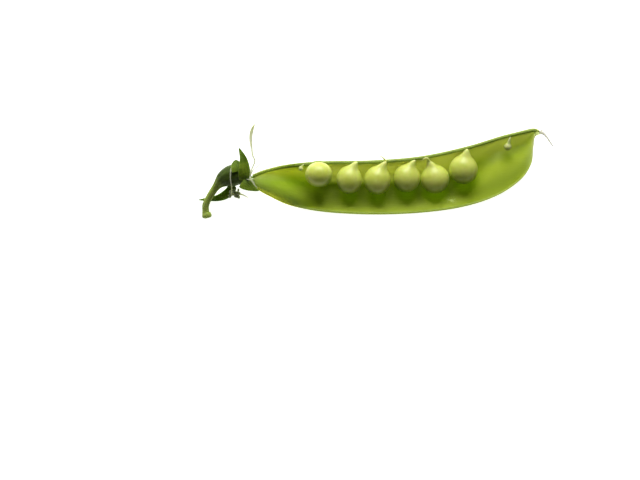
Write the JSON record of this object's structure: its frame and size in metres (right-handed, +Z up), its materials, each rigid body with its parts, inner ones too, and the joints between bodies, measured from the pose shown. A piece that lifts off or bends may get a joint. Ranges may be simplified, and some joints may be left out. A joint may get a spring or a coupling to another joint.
{
  "type": "pea pod",
  "caption": "Opened garden pea pod: one boat-shaped valve on its back with its peas, calyx, stalk, withered stamens and dried style.",
  "frame": {"origin": "middle of the small flat spot under the keel that the valve rests on", "axes": "+X from the stalk to the beak, +Y to the suture that carries the peas, +Z up out of the open valve"},
  "size_m": [0.1113, 0.0294, 0.0117],
  "materials": {
    "pod_green": "fresh moist pod wall, satin, slightly translucent",
    "pea_green": "smooth waxy seed coat, satin gloss, slightly translucent",
    "ovule_pale": "moist pale ovule, satin",
    "calyx_green": "leafy calyx and stalk, soft satin with veins",
    "stamen_dry": "dry papery filaments, matte",
    "style_dry": "dry style, matte"
  },
  "bodies": {
    "root": {"pod_valve": "pod_green", "pea_1": "pea_green", "pea_2": "pea_green", "pea_3": "pea_green", "pea_4": "pea_green", "pea_5": "pea_green", "pea_6": "pea_green", "undeveloped_seed_base": "ovule_pale", "undeveloped_seed_beak": "ovule_pale", "calyx_with_stalk": "calyx_green", "withered_stamens": "stamen_dry", "dried_style": "style_dry"}
  },
  "joints": []
}
